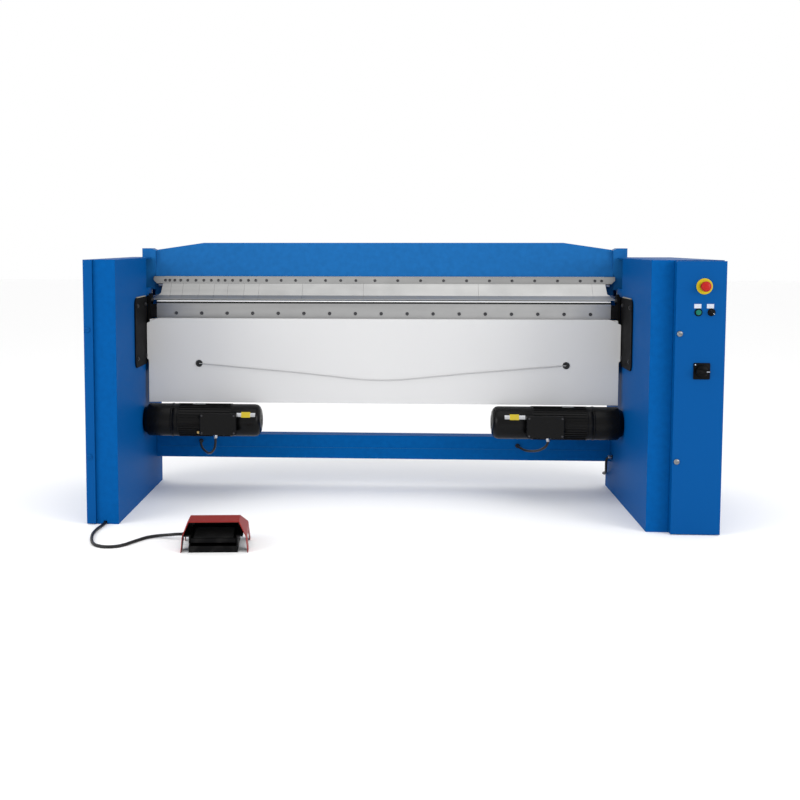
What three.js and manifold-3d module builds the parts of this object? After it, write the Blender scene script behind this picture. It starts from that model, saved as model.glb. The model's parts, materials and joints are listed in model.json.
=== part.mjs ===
// Motorised swing-beam folding machine for sheet metal, in millimetres, +Z up.
// X runs along the bend line, +Y points away from the operator.
// Pieces are drawn from a workshop datum (middle of the clear width, front of the columns, floor) and the
// whole machine is then shifted, so that the origin is the middle of its footprint, on the floor.
import * as THREE from 'three';
import { mergeVertices } from 'three/addons/utils/BufferGeometryUtils.js';
import Module from 'manifold-3d';

const wasm = await Module();
wasm.setup();

// Driving dimensions
const clearHalf = 1058;          // half the clear width between the columns
const columnDepth = 880;
const columnHeight = 1076;
const leftColumnOuter = 1149;    // frame of the left column, without its cover
const leftCoverOuter = 1186;
const rightColumnOuter = 1145;   // frame of the right column, without the cabinet
const cabinetOuter = 1336;
const proud = 39;                // how far the cabinet door stands in front of the column
const coverProud = 12;           // and the left cover
const gap = 0.3;                 // between pieces that touch
const bendY = 588;               // the bend line, on which the bending beam turns
const bendZ = 886;
const barHalf = 1010;            // half the working length
const footprintX = 75;           // middle of the footprint from the workshop datum
const footprintY = 246.95;

const colours = {
  columnBlue: [0x04569c, 0.4, 0.0],
  beamBlue: [0x2268b0, 0.4, 0.0],
  apronGrey: [0xd9d9d9, 0.45, 0.0],
  steel: [0xb9bbbd, 0.35, 1.0],
  darkSteel: [0x6d7073, 0.45, 1.0],
  black: [0x0d0d0f, 0.45, 0.0],
  red: [0xa52d32, 0.4, 0.0],
  signalRed: [0xc41f22, 0.35, 0.0],
  yellow: [0xe8c415, 0.45, 0.0],
  green: [0x1f8f46, 0.35, 0.0],
  zinc: [0x9fa5aa, 0.4, 1.0],
};

const machine = new THREE.Group();
machine.position.set(-footprintX, -footprintY, 0);

function add(name, geometry, colour) {
  const [color, roughness, metalness] = colours[colour];
  const mesh = new THREE.Mesh(geometry, new THREE.MeshStandardMaterial({ color, roughness, metalness }));
  mesh.name = name;
  machine.add(mesh);
}

// Merged vertices, no collapsed triangles, faces pointing out.
function closed(source) {
  const bare = source.clone();
  for (const key of Object.keys(bare.attributes)) {
    if (key !== 'position') bare.deleteAttribute(key);
  }
  const merged = mergeVertices(bare, 1e-3);
  const place = merged.getAttribute('position');
  const index = merged.getIndex();
  const corners = [0, 1, 2].map(() => new THREE.Vector3());
  const kept = [];
  let volume = 0;
  for (let i = 0; i < index.count; i += 3) {
    const ids = [index.getX(i), index.getX(i + 1), index.getX(i + 2)];
    if (new Set(ids).size < 3) continue;
    ids.forEach((id, k) => corners[k].fromBufferAttribute(place, id));
    volume += corners[0].dot(corners[1].clone().cross(corners[2]));
    kept.push(ids);
  }
  const faces = volume < 0 ? kept.map(([a, b, c]) => [a, c, b]) : kept;
  const out = new THREE.BufferGeometry();
  out.setAttribute('position', place.clone());
  out.setIndex(faces.flat());
  return out;
}

function toSolid(geometry) {
  const clean = closed(geometry);
  return new wasm.Manifold(new wasm.Mesh({
    numProp: 3,
    vertProperties: new Float32Array(clean.getAttribute('position').array),
    triVerts: new Uint32Array(clean.getIndex().array),
  }));
}

function fromSolid(solid) {
  const mesh = solid.getMesh();
  const out = new THREE.BufferGeometry();
  out.setAttribute('position', new THREE.Float32BufferAttribute(mesh.vertProperties, 3));
  out.setIndex(Array.from(mesh.triVerts));
  return out;
}

function join(...pieces) {
  return fromSolid(pieces.map(toSolid).reduce((whole, piece) => whole.add(piece)));
}

function cut(body, ...tools) {
  return fromSolid(tools.map(toSolid).reduce((whole, tool) => whole.subtract(tool), toSolid(body)));
}

function box([x0, x1], [y0, y1], [z0, z1]) {
  const geometry = new THREE.BoxGeometry(Math.abs(x1 - x0), Math.abs(y1 - y0), Math.abs(z1 - z0));
  return closed(geometry.translate((x0 + x1) / 2, (y0 + y1) / 2, (z0 + z1) / 2));
}

const unitX = new THREE.Vector3(1, 0, 0);
const unitY = new THREE.Vector3(0, 1, 0);
const unitZ = new THREE.Vector3(0, 0, 1);

// An outline drawn in (y, z) and run from x0 to x1, and the same for the other two planes.
function alongX(shape, x0, x1, curveSegments = 12) {
  const geometry = new THREE.ExtrudeGeometry(shape, { depth: x1 - x0, bevelEnabled: false, curveSegments });
  geometry.applyMatrix4(new THREE.Matrix4().makeBasis(unitY, unitZ, unitX));
  return closed(geometry.translate(x0, 0, 0));
}

function alongY(shape, y0, y1, curveSegments = 12) {
  const geometry = new THREE.ExtrudeGeometry(shape, { depth: y1 - y0, bevelEnabled: false, curveSegments });
  geometry.applyMatrix4(new THREE.Matrix4().makeBasis(unitX, unitZ, unitY.clone().negate()));
  return closed(geometry.translate(0, y1, 0));
}

function alongZ(shape, z0, z1, curveSegments = 12) {
  const geometry = new THREE.ExtrudeGeometry(shape, { depth: z1 - z0, bevelEnabled: false, curveSegments });
  return closed(geometry.translate(0, 0, z0));
}

function outline(points) {
  return new THREE.Shape(points.map(([u, v]) => new THREE.Vector2(u, v)));
}

function roundedOutline(u0, u1, v0, v1, radius) {
  const shape = new THREE.Shape();
  shape.moveTo(u0 + radius, v0);
  shape.absarc(u1 - radius, v0 + radius, radius, -Math.PI / 2, 0);
  shape.absarc(u1 - radius, v1 - radius, radius, 0, Math.PI / 2);
  shape.absarc(u0 + radius, v1 - radius, radius, Math.PI / 2, Math.PI);
  shape.absarc(u0 + radius, v0 + radius, radius, Math.PI, 1.5 * Math.PI);
  return shape;
}

function disc(u, v, radius) {
  const shape = new THREE.Shape();
  shape.absarc(u, v, radius, 0, 2 * Math.PI);
  return shape;
}

// A turned piece: its profile is a list of [distance along the axis, radius].
function turned(profile, axis, centre, segments = 32) {
  const line = profile.map(([along, r]) => new THREE.Vector2(r, along));
  const geometry = new THREE.LatheGeometry(line, segments);
  const frames = { x: [unitY, unitX, unitZ], y: [unitZ, unitY, unitX], z: [unitX, unitZ, unitY] };
  geometry.applyMatrix4(new THREE.Matrix4().makeBasis(...frames[axis]));
  return closed(geometry.translate(...centre));
}

// A round section run along a smooth curve, with twice as many sides as curve segments.
function tube(points, radius, quarters, steps) {
  const path = new THREE.CatmullRomCurve3(points.map((p) => new THREE.Vector3(...p)), false, 'centripetal');
  const section = new THREE.Shape();
  section.absarc(0, 0, radius, 0, 2 * Math.PI);
  return closed(new THREE.ExtrudeGeometry(section, {
    steps, curveSegments: quarters, bevelEnabled: false, extrudePath: path,
  }));
}

const sides = { left: -1, right: 1 };
const span = (side, a, b) => (side < 0 ? [-b, -a] : [a, b]);

// Columns: folded and welded plate, open on the outer side, where the cover or the cabinet closes them,
// and on the inner side behind the clamping line, where the lug of the upper beam runs
const beamHalf = 1040;
const lug = { y: [695, 775], z: [930, 1118], x: [beamHalf + gap, 1102] };
const spindle = { x: 1079, y: 735, radius: 14, bottom: 298.3, top: 1060 };
const shelfTop = 298;
const pinRadius = 18;
const cableHole = { x: -1113, half: 7, depth: 80, height: 13.5 };

function column(side, outer) {
  const wall = 5;
  const shell = cut(
    box(span(side, clearHalf, outer), [0, columnDepth], [0, columnHeight]),
    box(span(side, clearHalf + wall, outer + 10), [wall, columnDepth - wall], [wall, columnHeight - wall]),
    box(span(side, clearHalf - 10, lug.x[1] + 6), [lug.y[0] - 4, lug.y[1] + 4], [900, columnHeight + 10]),
    box(span(side, clearHalf - 10, clearHalf + 2 * wall), [574, columnDepth - wall],
      [940, columnHeight - wall]),
    alongX(disc(bendY, bendZ, pinRadius + 2), ...span(side, clearHalf - 5, clearHalf + 2 * wall)),
  );
  const shelf = box(span(side, clearHalf + 2, clearHalf + 64), [690, 780], [shelfTop - 10, shelfTop]);
  return join(shell, shelf);
}

const mouseHole = box(
  [cableHole.x - cableHole.half, cableHole.x + cableHole.half], [-5, cableHole.depth], [-5, cableHole.height],
);
add('left_column', cut(column(-1, leftColumnOuter), mouseHole), 'columnBlue');
add('right_column', column(1, rightColumnOuter), 'columnBlue');

// Quarter-turn locks: round heads on short shanks, through the covers
const lockShank = 5;
const lockHole = lockShank + 0.5;
const locks = [
  ['left_cover_lock_upper', -1171, 795, -coverProud],
  ['left_cover_lock_lower', -1171, 279, -coverProud],
  ['door_lock_upper', 1162, 792, -proud],
  ['door_lock_lower', 1162, 291, -proud],
];
const lockHoles = (from) => locks
  .filter(([name]) => name.startsWith(from))
  .map(([, x, z, front]) => alongY(disc(x, z, lockHole), front - 5, front + 8));

for (const [name, x, z, front] of locks) {
  const profile = [[front - 5, 0], [front - 5, 9], [front - 3.5, 11], [front - gap, 11],
    [front - gap, lockShank], [front + 15, lockShank], [front + 15, 0]];
  const slot = box([x - 8, x + 8], [front - 8, front - 3], [z - 1.2, z + 1.2]);
  add(name, cut(turned(profile, 'y', [x, 0, z], 24), slot), 'zinc');
}

// Left cover: a tray that closes the outer side of the column and wraps its front edge
function leftCover() {
  const inner = -leftColumnOuter - gap;
  const wall = 3;
  return cut(
    box([-leftCoverOuter, inner], [-coverProud, columnDepth], [4, columnHeight]),
    box([-leftCoverOuter + wall, inner + 10], [0, columnDepth - wall], [4 + wall, columnHeight - wall]),
    box([-leftCoverOuter + wall, inner - wall], [-coverProud + wall, 1], [4 + wall, columnHeight - wall]),
    ...lockHoles('left'),
  );
}
add('left_cover', leftCover(), 'columnBlue');

// Electrical cabinet on the right, with its door, mounting plate and drive
const cabinet = { x: [rightColumnOuter + gap, cabinetOuter], wall: 3 };
add('electrical_cabinet', cut(
  box(cabinet.x, [0, columnDepth], [0, columnHeight]),
  box([cabinet.x[0] + cabinet.wall, cabinetOuter - cabinet.wall], [-5, columnDepth - cabinet.wall],
    [cabinet.wall, columnHeight - cabinet.wall]),
), 'columnBlue');

const estop = { x: 1251, z: 976 };
const startButton = { x: 1230.5, z: 875.5 };
const selector = { x: 1280, z: 876 };
const mainSwitch = { x: 1248.5, z: 647.5, half: 32 };
const estopStem = 11;
const startRadius = 11;

function cabinetDoor() {
  const [x0, x1] = [cabinet.x[0], cabinetOuter - 0.3];
  const holes = [[estop, estopStem + 1], [startButton, startRadius + 0.5]]
    .map(([at, radius]) => alongY(disc(at.x, at.z, radius), -proud - 5, -proud + 8));
  return cut(
    box([x0, x1], [-proud, -0.5], [3, columnHeight - 3]),
    box([x0 + 2, x1 - 2], [-proud + 2, 5], [5, columnHeight - 5]),
    ...holes,
    ...lockHoles('door'),
  );
}
add('cabinet_door', cabinetDoor(), 'columnBlue');

function mountingPlate() {
  const [x0, x1] = [cabinet.x[0] + cabinet.wall + gap, cabinetOuter - cabinet.wall - gap];
  return alongZ(outline([
    [x0, 570], [x0 + 2, 570], [x0 + 2, 600], [x1 - 2, 600], [x1 - 2, 570], [x1, 570], [x1, 602], [x0, 602],
  ]), 250, 1000);
}
add('mounting_plate', mountingPlate(), 'zinc');

function driveUnit() {
  const [x0, x1] = [1185, 1295];
  const finCount = 6;
  const fin = (x1 - x0) / (2 * finCount - 1);
  const fins = Array.from({ length: finCount }, (_, i) => (
    box([x0 + 2 * i * fin, x0 + (2 * i + 1) * fin], [540, 600 - gap], [660, 900])));
  return join(box([x0, x1], [440, 545], [650, 910]), ...fins);
}
add('drive_unit', driveUnit(), 'black');

// Emergency stop, start button, selector and main switch on the door
add('estop_plate', cut(
  turned([[-proud - gap - 3, 0], [-proud - gap - 3, 29], [-proud - gap - 1.5, 31], [-proud - gap, 31],
    [-proud - gap, 0]], 'y', [estop.x, 0, estop.z], 40),
  alongY(disc(estop.x, estop.z, estopStem + 1), -60, -30),
), 'yellow');
add('estop_button', turned([
  [-75, 0], [-74, 10], [-71, 17], [-66, 20], [-60, 20], [-56, 16], [-54, estopStem], [-40, estopStem], [-40, 0],
], 'y', [estop.x, 0, estop.z], 32), 'signalRed');
add('start_button', turned([
  [-46, 0], [-46, startRadius - 2], [-44.5, startRadius], [-37.5, startRadius], [-37.5, 0],
], 'y', [startButton.x, 0, startButton.z], 28), 'green');

function handle(at, radius, depth, halfLength, halfWidth, tilt) {
  const front = -proud - depth;
  const grip = box([-halfLength, halfLength], [front - 12, front + 2], [-halfWidth, halfWidth]);
  grip.rotateY(tilt);
  grip.translate(at.x, 0, at.z);
  const base = alongY(disc(at.x, at.z, radius), front, -proud - gap);
  return join(base, grip);
}
add('selector_knob', handle(selector, 14, 8, 13, 4, Math.PI / 4), 'black');

const switchPlate = roundedOutline(mainSwitch.x - mainSwitch.half, mainSwitch.x + mainSwitch.half,
  mainSwitch.z - mainSwitch.half, mainSwitch.z + mainSwitch.half, 4);
add('main_switch_plate', alongY(switchPlate, -proud - 4, -proud - gap, 6), 'black');
add('main_switch_knob', handle(mainSwitch, 22, 14, 26, 6, 0).translate(0, -4 - gap, 0), 'black');

// Lower frame: cross rail, lower beam with its table, and the lower clamp bar
const railY = [760, 840];
add('lower_rail', cut(
  box([-clearHalf + gap, clearHalf - gap], railY, [137, 247]),
  box([-clearHalf - 5, clearHalf + 5], [railY[0] + 6, railY[1] - 6], [143, 241]),
), 'columnBlue');

const lowerBeamFront = 625;
const tableZ = bendZ - 1.7;       // top of the table and of the clamp bar that lies on its ledge
const ledgeZ = 864;
function lowerBeam() {
  const body = alongX(outline([
    [lowerBeamFront, 560], [800, 560], [800, tableZ - 16], [876, tableZ - 16], [876, tableZ], [680 + gap, tableZ],
    [680 + gap, ledgeZ], [lowerBeamFront, ledgeZ],
  ]), -clearHalf + gap, clearHalf - gap);
  return cut(body, box([-clearHalf - 5, clearHalf + 5], [lowerBeamFront + 10, 790], [570, ledgeZ - 14]));
}
add('lower_beam', lowerBeam(), 'columnBlue');
add('lower_clamp_bar', alongX(outline([
  [bendY + 1.5, ledgeZ + gap], [680, ledgeZ + gap], [680, tableZ], [bendY + 2.5, tableZ],
  [bendY + 1.5, tableZ - 1],
]), -barHalf, barHalf), 'steel');

// Upper beam: hollow box with a leaning front and sloping shoulders, carried by a lug at each end
const beamZ = [990, 1143];
function upperBeam() {
  const shoulder = (side) => alongY(outline([
    [side * 822, beamZ[1]], [side * (beamHalf + 10), 1109.4], [side * (beamHalf + 10), 1200], [side * 822, 1200],
  ]), 600, 900);
  return cut(
    alongX(outline([[690, beamZ[0]], [850, beamZ[0]], [850, beamZ[1]], [735, beamZ[1]]]), -beamHalf, beamHalf),
    alongX(outline([[703, beamZ[0] + 10], [840, beamZ[0] + 10], [840, 1095], [732, 1095]]), -1100, 1100),
    shoulder(-1),
    shoulder(1),
  );
}
add('upper_beam', upperBeam(), 'beamBlue');

for (const [name, side] of Object.entries(sides)) {
  add(`${name}_beam_lug`, cut(
    alongY(outline([
      [side * lug.x[0], lug.z[0]], [side * lug.x[1], lug.z[0]], [side * lug.x[1], lug.z[1]],
      [side * (lug.x[0] + 20), lug.z[1]], [side * lug.x[0], lug.z[1] - 10],
    ]), ...lug.y),
    alongZ(disc(side * spindle.x, spindle.y, spindle.radius + 1), 900, 1200, 16),
  ), 'beamBlue');
  const profile = [[spindle.bottom, 0], [spindle.bottom, spindle.radius], [spindle.top - 3, spindle.radius],
    [spindle.top, spindle.radius - 3], [spindle.top, 0]];
  add(`${name}_lift_spindle`, turned(profile, 'z', [side * spindle.x, spindle.y, 0], 24), 'darkSteel');
}

// Clamping strip across the beam, and the segments of the clamp bar that it holds
const stripHalf = 1046;
add('clamping_strip', (() => {
  const strip = alongX(outline([[662, 958], [694.5, 958], [694.5, 989.7], [678, 989.7]]), -stripHalf, stripHalf);
  const nose = (side) => alongY(outline([
    [side * (stripHalf - 26), 950], [side * (stripHalf + 5), 950], [side * (stripHalf + 5), 978],
  ]), 600, 720);
  return cut(strip, nose(-1), nose(1));
})(), 'steel');

const footTop = 906;
const segmentTop = 957.7;
const segmentProfile = outline([
  [bendY + 2, bendZ + 2], [680, bendZ + 2], [692, 900], [692, segmentTop], [662, segmentTop], [624, footTop],
  [bendY + 6, bendZ + 5],
]);
const segmentEdges = [-1000, -906, -761, -624, -358, -82, 435, 1000];
const flare = 34;

// The end segments spread outwards at the foot, so that they reach into the corners of a folded box.
function cornerFoot(side) {
  const spread = alongY(outline([
    [side * 1000, 887], [side * (1000 + flare), 887], [side * (1000 + flare), 891], [side * 1004, 915],
    [side * 1000, segmentTop],
  ]), 580, 700);
  const foot = alongX(segmentProfile, ...(side < 0 ? [-1040, -999] : [999, 1040]));
  return fromSolid(toSolid(foot).intersect(toSolid(spread)));
}

for (let i = 0; i + 1 < segmentEdges.length; i += 1) {
  const [x0, x1] = [segmentEdges[i] + 0.2, segmentEdges[i + 1] - 0.2];
  let geometry = alongX(segmentProfile, i === 0 ? -1000 : x0, i === segmentEdges.length - 2 ? 1000 : x1);
  if (i === 0) geometry = join(geometry, cornerFoot(-1));
  if (i === segmentEdges.length - 2) geometry = join(geometry, cornerFoot(1));
  add(`clamp_segment_${i + 1}`, geometry, 'steel');
}

// Bending beam: hollow core, apron sheet, bend bar, tension rod, and an arm with a pivot pin at each end
const coreHalf = 1035.7;
const apronY = [527, 530];
const rodHole = { x: 813, z: 605, radius: 12 };
const rodHoles = (y0, y1) => [-1, 1].map((side) => alongY(disc(side * rodHole.x, rodHole.z, rodHole.radius),
  y0, y1));

function bendingBeam() {
  const core = join(
    box([-coreHalf, coreHalf], [530.5, 587.5], [440, 802]),
    box([-barHalf, barHalf], [580.3, 587.5], [801, 846]),
  );
  return cut(core, box([-1100, 1100], [538, 579.5], [450, 790]), ...rodHoles(500, 545));
}
add('bending_beam', bendingBeam(), 'apronGrey');

function apron() {
  const face = alongY(outline([
    [-1041, 430], [1041, 430], [1041, 620], [1048, 625], [1048, 785], [1006, 806], [-1006, 806], [-1048, 785],
    [-1048, 625], [-1041, 620],
  ]), ...apronY);
  const bottomFlange = box([-1035, 1035], [apronY[1] - 1, 590], [430, 433]);
  const topFlange = box([-1000, 1000], [apronY[1] - 1, 567], [803, 806]);
  const rounded = join(face, bottomFlange, topFlange);
  return cut(rounded, ...rodHoles(500, apronY[1] + 5));
}
add('apron', apron(), 'apronGrey');

const barScrews = { half: 922, count: 17, z: 828, radius: 6 };
function bendBar() {
  const profile = new THREE.Shape();
  profile.moveTo(568, 806.5);
  profile.lineTo(580, 806.5);
  profile.lineTo(580, 848);
  profile.lineTo(587.7, 848);
  profile.lineTo(587.7, bendZ - 0.5);
  profile.lineTo(584, bendZ - 0.5);
  profile.absellipse(584, 861, 16, 24.5, Math.PI / 2, Math.PI);
  const bar = alongX(profile, -barHalf, barHalf, 7);
  const pitch = (2 * barScrews.half) / (barScrews.count - 1);
  const holes = Array.from({ length: barScrews.count }, (_, i) => (
    alongY(disc(-barScrews.half + i * pitch, barScrews.z, barScrews.radius), 560, 574, 5)));
  return cut(bar, ...holes);
}
add('bend_bar', bendBar(), 'steel');

const rodY = 523.5;
add('tension_rod', tube([
  [-rodHole.x, rodY, rodHole.z], [-400, rodY, rodHole.z - 35.5], [-90, rodY, 538], [0, rodY, 534.5],
  [90, rodY, 538], [400, rodY, rodHole.z - 35.5], [rodHole.x, rodY, rodHole.z],
], 1.8, 4, 40), 'zinc');

function pivotArm(side) {
  const hub = alongX(disc(bendY, bendZ, 30), ...span(side, 1036, 1048), 16);
  const leg = alongX(outline([[558, bendZ], [545, 790], [545, 600], [586, 600], [592, 790], [612, bendZ - 14]]),
    ...span(side, 1036, 1048));
  const bracket = box(span(side, 1012, 1037), [566, 584], [808, 868]);
  const pin = alongX(disc(bendY, bendZ, pinRadius), ...span(side, 1047, 1100), 16);
  return join(hub, leg, bracket, pin);
}

for (const [name, side] of Object.entries(sides)) {
  add(`${name}_pivot_arm`, pivotArm(side), 'black');
  add(`${name}_pivot_bearing`, cut(
    alongX(disc(bendY, bendZ, 45), ...span(side, clearHalf + 5 + gap, 1087), 16),
    alongX(disc(bendY, bendZ, pinRadius + 0.15), ...span(side, 1050, 1100), 16),
  ), 'darkSteel');
  add(`${name}_side_plate`, alongX(roundedOutline(325, 560, 602, 905, 30),
    ...span(side, clearHalf - gap - 6, clearHalf - gap), 5), 'black');
}

// Gear motors: one against each column, below the bending beam
const motor = { y: 515, z: 352 };
const motorX = { wall: clearHalf - gap, gearboxEnd: 925, statorEnd: 662, fanEnd: { left: 530, right: 488 } };
const terminal = { x: [633, 795], y: [415, 452], z: [299, 396] };

for (const [name, side] of Object.entries(sides)) {
  const axis = [0, motor.y, motor.z];
  const turnedMotor = (profile) => turned(profile.map(([x, r]) => [side * x, r]), 'x', axis, 32);
  const fanEnd = motorX.fanEnd[name];
  add(`${name}_gearbox`, turnedMotor([
    [motorX.wall, 0], [motorX.wall, 55], [1046, 62], [1036, 73],
    [motorX.gearboxEnd, 73], [motorX.gearboxEnd, 0],
  ]), 'black');
  const stator = turnedMotor([
    [motorX.gearboxEnd - gap, 0], [motorX.gearboxEnd - gap, 73], [905, 73], [900, 71],
    [motorX.statorEnd, 71], [motorX.statorEnd, 0],
  ]);
  const pocket = box(span(side, terminal.x[0] - gap, terminal.x[1] + gap), [400, terminal.y[1] + gap],
    [terminal.z[0] - gap, terminal.z[1] + gap]);
  add(`${name}_motor`, cut(stator, pocket), 'black');
  const fanCover = turnedMotor([
    [motorX.statorEnd - gap, 0], [motorX.statorEnd - gap, 72], [fanEnd + 30, 72], [fanEnd + 17, 69],
    [fanEnd + 8, 61], [fanEnd + 2, 49], [fanEnd, 36], [fanEnd, 0],
  ]);
  add(`${name}_fan_cover`, cut(fanCover, pocket), 'black');
  add(`${name}_terminal_box`, alongY(
    roundedOutline(...span(side, ...terminal.x), ...terminal.z, 8), ...terminal.y, 4), 'black');
}

// Motor leads: from the gland under each terminal box to the rail
const leadRadius = 5.5;
const leads = {
  left: [[-727, 432, 298.5], [-727, 432, 276], [-730, 440, 250], [-742, 470, 224], [-768, 540, 197],
    [-800, 630, 184], [-833, 700, 194], [-846, 740, 214], [-846, railY[0] - gap, 214]],
  right: [[727, 432, 298.5], [727, 433, 282], [722, 446, 262], [706, 500, 236], [684, 590, 212],
    [656, 690, 198], [631, 740, 205], [631, railY[0] - gap, 205]],
};
for (const [name, points] of Object.entries(leads)) {
  add(`${name}_motor_lead`, tube(points, leadRadius, 4, 22), 'black');
}
add('column_lead', tube([
  [clearHalf - gap, 715, 166], [1044, 715, 166], [1034, 717, 158], [1032, 724, 140], [1035, 742, 114],
  [1041, 780, 84], [1046, 830, 66], [1046, 868, 60], [1055, 893, 58], [1070, 903, 57], [1083, 901, 57],
  [1088, 890, 57], [1088, columnDepth + gap, 57],
], leadRadius, 4, 30), 'black');

// Foot switch: base with cheeks, red hood, treadle on a cross pin, and its cable. It is drawn square to the
// machine and then turned a little on the floor, about the middle of its front edge.
const pedal = { x: [-697, -515], y: [-400, -192], front: -404, turn: THREE.MathUtils.degToRad(5) };
const pedalMiddle = -601.5;
const pedalPin = { y: -216, z: 40, radius: 4 };
const reliefY = -205;

const swung = (geometry) => geometry.translate(-pedalMiddle, -pedal.front, 0).rotateZ(pedal.turn)
  .translate(pedalMiddle, pedal.front, 0);
const swungPoint = (x, y, z) => new THREE.Vector3(x - pedalMiddle, y - pedal.front, z)
  .applyAxisAngle(unitZ, pedal.turn).add(new THREE.Vector3(pedalMiddle, pedal.front, 0)).toArray();

function pedalBase() {
  const [x0, x1] = pedal.x;
  const [y0, y1] = pedal.y;
  const pinHole = alongX(disc(pedalPin.y, pedalPin.z, pedalPin.radius + 0.2), x0 - 5, x1 + 5, 8);
  const base = join(
    box([x0, x1], [y0, y1], [0, 8]),
    box([x0, x0 + 6], [y0 + 14, y1], [7, 62]),
    box([x1 - 6, x1], [y0 + 14, y1], [7, 62]),
    box([x0, x1], [y1 - 8, y1], [7, 62]),
    box([x0, x1], [y0, y0 + 6], [7, 24]),
    box([x0 - 19, x0 + 2], [y0 + 14, y1], [56, 62]),
    box([x1 - 2, x1 + 19], [y0 + 14, y1], [56, 62]),
  );
  return cut(base, pinHole);
}
add('pedal_base', swung(pedalBase()), 'black');

// The hood is one folded sheet: upright legs, leaning sides, a flat top and a slope down to the back.
function pedalHood() {
  const rear = pedal.y[1] + 4;
  const outer = [[-727, 0], [-721, 62], [-697, 117], [-509, 117], [-483, 62], [-476, 0]];
  const inner = [[-479, 0], [-486, 61], [-511, 114], [-695, 114], [-718, 61], [-724, 0]];
  const folded = alongY(outline([...outer, ...inner]), pedal.front, rear);
  const above = alongX(outline([[-300, 117], [rear, 68], [rear + 20, 68], [rear + 20, 140], [-300, 140]]),
    -760, -440);
  const slope = alongX(outline([[-301, 117], [-300, 117], [rear, 68], [rear, 64.5], [-301, 114]]),
    -760, -440);
  const room = alongY(outline(outer), pedal.front, rear);
  const arch = alongX(outline([[-345, -5], [-228, -5], [-243, 44], [-330, 44]]), -760, -440);
  const notch = box([-760, -705], [reliefY - 13, rear + 5], [-5, 34]);
  const sloping = fromSolid(toSolid(slope).intersect(toSolid(room)));
  return cut(join(cut(folded, above), sloping), arch, notch);
}
add('pedal_hood', swung(pedalHood()), 'red');

const [treadleX0, treadleX1] = [pedal.x[0] + 8, pedal.x[1] - 8];
add('pedal_treadle', (() => {
  const plate = outline([[-388, 34], [-384, 34], [-384, 44], [-228, 51], [-224, 34], [-208, 34], [-208, 46],
    [-218, 56], [-232, 57], [-388, 50]]);
  return swung(cut(
    alongX(plate, treadleX0, treadleX1),
    alongX(disc(pedalPin.y, pedalPin.z, pedalPin.radius + 0.2), treadleX0 - 5, treadleX1 + 5, 8),
  ));
})(), 'black');
add('pedal_pin', swung(
  alongX(disc(pedalPin.y, pedalPin.z, pedalPin.radius), pedal.x[0] + 0.5, pedal.x[1] - 0.5, 8),
), 'zinc');

const cableRadius = 6;
const cableZ = 6.3;
const reliefX = [-738, pedal.x[0] - gap];
add('pedal_strain_relief', swung(turned([
  [reliefX[0], 0], [reliefX[0], 7.5], [reliefX[1] - 8, 10], [reliefX[1], 10], [reliefX[1], 0],
], 'x', [0, reliefY, 20], 16)), 'black');

// The cable lies on the floor from the hole in the left column, and rises at the end to the foot switch.
const onFloor = [
  [cableHole.x, 60], [cableHole.x, 25], [cableHole.x, -5], [-1115, -50], [-1119, -100], [-1119, -155],
  [-1113, -205], [-1103, -250], [-1091, -290], [-1075, -327], [-1050, -355], [-1016, -367], [-982, -359],
  [-956, -334], [-935, -295], [-914, -257],
].map(([x, y]) => [x, y, cableZ]);
add('pedal_cable', tube([
  ...onFloor, [-892, -224, 6.6], [-866, -208, 8], [-832, -207, 11.5], [-803, -215, 16],
  swungPoint(reliefX[0] - 24, reliefY, 19.6), swungPoint(reliefX[0] - gap, reliefY, 20),
], cableRadius, 4, 64), 'black');

export default machine;
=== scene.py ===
import json
import math

import bmesh
import bpy
from mathutils import Matrix, Vector

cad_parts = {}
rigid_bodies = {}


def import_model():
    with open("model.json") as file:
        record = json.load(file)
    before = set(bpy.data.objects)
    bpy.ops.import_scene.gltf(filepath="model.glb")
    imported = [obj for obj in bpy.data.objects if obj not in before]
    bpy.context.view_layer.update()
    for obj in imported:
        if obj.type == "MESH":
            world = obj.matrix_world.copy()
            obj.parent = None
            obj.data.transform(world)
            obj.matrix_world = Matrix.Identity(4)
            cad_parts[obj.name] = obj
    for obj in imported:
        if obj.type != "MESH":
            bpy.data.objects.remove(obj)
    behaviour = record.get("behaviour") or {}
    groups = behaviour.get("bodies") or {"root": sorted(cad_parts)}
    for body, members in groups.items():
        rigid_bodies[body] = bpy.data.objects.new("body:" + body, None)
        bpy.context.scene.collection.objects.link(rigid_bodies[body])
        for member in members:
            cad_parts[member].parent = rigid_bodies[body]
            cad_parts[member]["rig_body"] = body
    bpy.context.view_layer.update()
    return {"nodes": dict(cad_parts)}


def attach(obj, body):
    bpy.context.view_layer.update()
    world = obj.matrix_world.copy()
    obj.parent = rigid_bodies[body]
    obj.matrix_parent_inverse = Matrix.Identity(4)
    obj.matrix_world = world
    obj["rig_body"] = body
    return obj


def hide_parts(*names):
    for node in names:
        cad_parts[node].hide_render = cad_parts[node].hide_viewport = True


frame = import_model()
nodes = frame["nodes"]
print("frame loaded,", len(nodes), "nodes")

mm = 0.001
datum = Vector((-75, -246.95, 0))      # the workshop datum that the machine is drawn from, in mm
sides = {"left": -1, "right": 1}


def at(x, y, z):
    return (Vector((x, y, z)) + datum) * mm


# Camera: stands a little to the right of the middle, looking slightly left and down
eye = {"place": (63.4, -4511.8, 1144.6), "lens": 51.327, "down": 4.733, "turn": 3.43,
       "shiftX": 0.091, "shiftY": -0.0789}


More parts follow.
